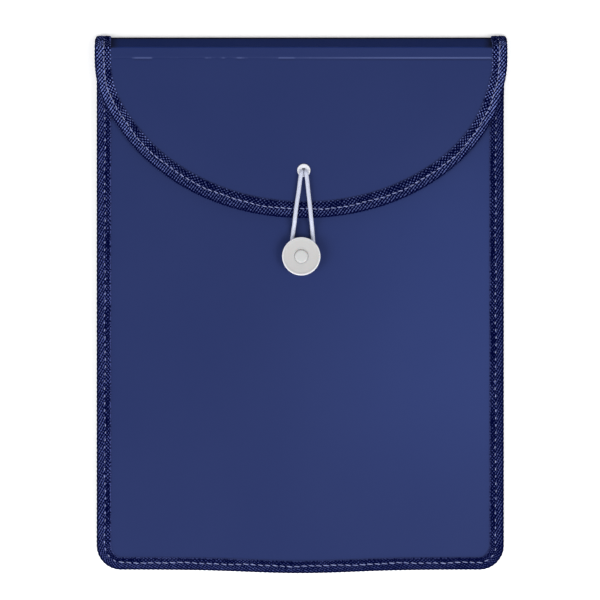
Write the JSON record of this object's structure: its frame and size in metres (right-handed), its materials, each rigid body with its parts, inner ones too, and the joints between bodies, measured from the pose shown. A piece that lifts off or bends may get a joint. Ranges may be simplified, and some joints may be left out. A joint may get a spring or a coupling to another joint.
{
  "type": "cash deposit bag",
  "caption": "Flat gusseted deposit bag of blue plastic sheet with tape-bound edges, a rounded flap and an elastic loop that hooks round a button.",
  "frame": {"origin": "middle of the footprint, on the surface that the bag lies on", "axes": "+Z out of the front of the bag, +Y from the bottom edge to the top fold, +X to the right seen from the front"},
  "size_m": [0.243, 0.316, 0.0162],
  "materials": {
    "blue_sheet": "smooth semi-matte",
    "navy_tape": "twill weave",
    "blue_thread": "twisted thread",
    "white_plastic": "satin",
    "white_elastic": "braided",
    "white_metal": "satin",
    "bare_metal": "satin"
  },
  "bodies": {
    "back": {"back_panel": "blue_sheet", "back_tape": "navy_tape", "back_seam": "blue_thread", "left_gusset": "blue_sheet", "right_gusset": "blue_sheet", "bottom_gusset": "blue_sheet"},
    "front": {"front_panel": "blue_sheet", "front_tape": "navy_tape", "front_seam": "blue_thread", "button_rivet": "white_plastic", "rivet_cap": "white_plastic"},
    "spine": {"spine_strip": "blue_sheet", "left_spine_tape": "navy_tape", "right_spine_tape": "navy_tape", "spine_seam": "blue_thread"},
    "flap": {"flap_panel": "blue_sheet", "flap_tape": "navy_tape", "flap_seam": "blue_thread", "eyelet": "white_metal", "eyelet_washer": "white_metal", "elastic_ferrule": "bare_metal"},
    "button": {"button_disc": "white_plastic"},
    "loop": {"elastic_loop": "white_elastic"}
  },
  "joints": [
    {"name": "spine_fold", "type": "hinge", "parent": "back", "child": "spine", "pos_m": [0, 0.1577, 0.0008], "axis": [-1, 0, 0], "range_deg": [0, 121]},
    {"name": "flap_fold", "type": "hinge", "parent": "spine", "child": "flap", "pos_m": [0, 0.15126, 0.01151], "axis": [-1, 0, 0], "range_deg": [0, 59]},
    {"name": "pocket_press", "type": "slide", "parent": "back", "child": "front", "axis": [0, 0, 1], "range_m": [-0.0018, 0], "stiffness_N_per_m": 250, "springref_m": 0.004, "deforming": ["left_gusset", "right_gusset", "bottom_gusset"]},
    {"name": "button_spin", "type": "hinge", "parent": "front", "child": "button", "pos_m": [0.0006, 0.0282, 0.009], "axis": [0, 0, 1], "continuous": true},
    {"name": "loop_stretch", "type": "slide", "parent": "flap", "child": "loop", "axis": [0, -1, 0], "range_m": [0, 0.01], "stiffness_N_per_m": 80, "deforming": ["elastic_loop"]}
  ]
}
